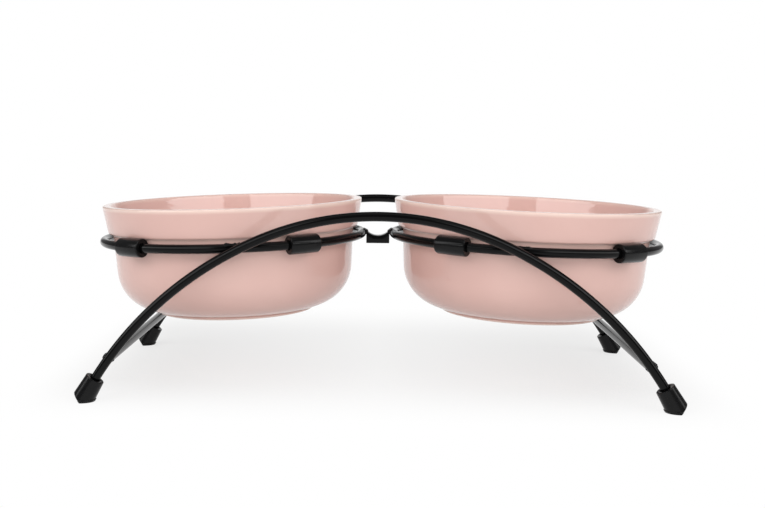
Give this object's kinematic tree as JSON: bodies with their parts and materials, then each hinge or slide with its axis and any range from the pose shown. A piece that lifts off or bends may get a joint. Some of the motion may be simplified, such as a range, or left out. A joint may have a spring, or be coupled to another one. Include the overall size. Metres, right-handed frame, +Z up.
{
  "type": "raised pet feeder",
  "caption": "Raised pet feeder: a welded stand of arched round rod carries lift-out glazed ceramic bowls in rubber-sleeved rings, on rubber feet.",
  "frame": {"origin": "on the floor, midway between the feet", "axes": "+X along the row of bowls, +Y from the front arch to the rear arch, +Z up"},
  "size_m": [0.3228, 0.1712, 0.1041],
  "materials": {
    "pink_glaze": "gloss pink glaze",
    "black_paint": "satin black paint over rod",
    "black_rubber": "smooth black rubber"
  },
  "bodies": {
    "stand": {"front_arch": "black_paint", "rear_arch": "black_paint", "ring_left": "black_paint", "ring_right": "black_paint", "ring_link": "black_paint", "cross_bar_left": "black_paint", "cross_bar_right": "black_paint", "ring_welds": "black_paint", "bar_welds": "black_paint", "sleeve_left_front_outer": "black_rubber", "sleeve_left_front_inner": "black_rubber", "sleeve_left_rear_outer": "black_rubber", "sleeve_left_rear_inner": "black_rubber", "sleeve_right_front_outer": "black_rubber", "sleeve_right_front_inner": "black_rubber", "sleeve_right_rear_outer": "black_rubber", "sleeve_right_rear_inner": "black_rubber", "foot_front_left": "black_rubber", "foot_front_right": "black_rubber", "foot_rear_left": "black_rubber", "foot_rear_right": "black_rubber"},
    "bowl_left": {"bowl_left": "pink_glaze"},
    "bowl_right": {"bowl_right": "pink_glaze"}
  },
  "joints": [
    {"name": "bowl_left_lift", "type": "slide", "parent": "stand", "child": "bowl_left", "axis": [-0.0349, 0, 0.9994], "range_m": [0, 0.08]},
    {"name": "bowl_right_lift", "type": "slide", "parent": "stand", "child": "bowl_right", "axis": [0.0349, 0, 0.9994], "range_m": [0, 0.08]}
  ]
}
